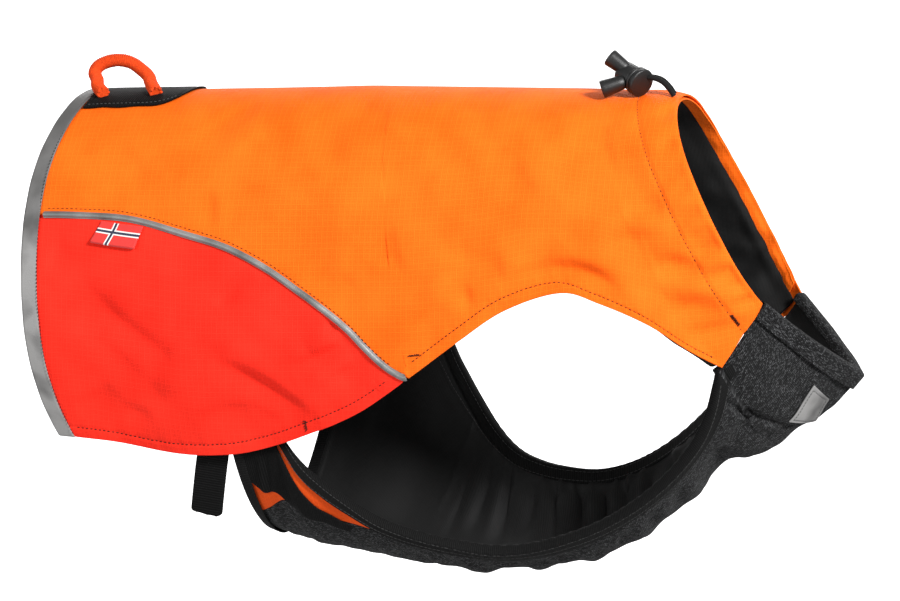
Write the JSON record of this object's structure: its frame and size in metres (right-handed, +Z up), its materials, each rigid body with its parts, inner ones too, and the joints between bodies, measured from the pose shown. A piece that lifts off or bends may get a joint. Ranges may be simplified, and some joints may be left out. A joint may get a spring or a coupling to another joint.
{
  "type": "dog protection vest",
  "caption": "Dog vest, filled out as worn: orange and red nylon shell over the back, knit chest and belly, drawcord neck and rope handle.",
  "frame": {"origin": "on the lining at the spine, half way along the back, where the wearer's back carries the vest", "axes": "+X towards the head, +Y towards the dog's left side, +Z up"},
  "size_m": [0.5408, 0.1975, 0.3477],
  "materials": {
    "orange_nylon": "coated ripstop nylon, satin",
    "red_nylon": "coated ripstop nylon, satin",
    "black_lining": "woven lining, matt",
    "black_webbing": "ribbed tape, matt",
    "grey_reflective": "retro-reflective tape, satin",
    "grey_piping": "reflective piping, satin",
    "melange_knit": "melange knit, matt",
    "orange_rope": "braided rope, matt",
    "black_plastic": "moulded, satin",
    "flag_label": "woven label, matt"
  },
  "bodies": {
    "root": {"back_panel": "orange_nylon", "flank_right": "red_nylon", "flank_left": "red_nylon", "body_lining": "black_lining", "neck_facing": "orange_nylon", "rear_binding": "grey_reflective", "piping_right": "grey_piping", "piping_left": "grey_piping", "belly_panel": "melange_knit", "chest_panel": "melange_knit", "collar_edge": "melange_knit", "chest_lining": "black_lining", "wing_right": "orange_nylon", "wing_left": "orange_nylon", "leg_binding_right": "black_webbing", "leg_binding_left": "black_webbing", "belly_binding": "black_webbing", "flap_webbing": "black_webbing", "strap_end": "black_webbing", "handle_patch": "black_webbing", "rope_handle": "orange_rope", "drawcord_right": "black_webbing", "drawcord_left": "black_webbing", "cord_lock": "black_plastic", "cord_end_right": "black_plastic", "cord_end_left": "black_plastic", "flag_label": "flag_label", "chest_patch": "grey_reflective"}
  },
  "joints": []
}
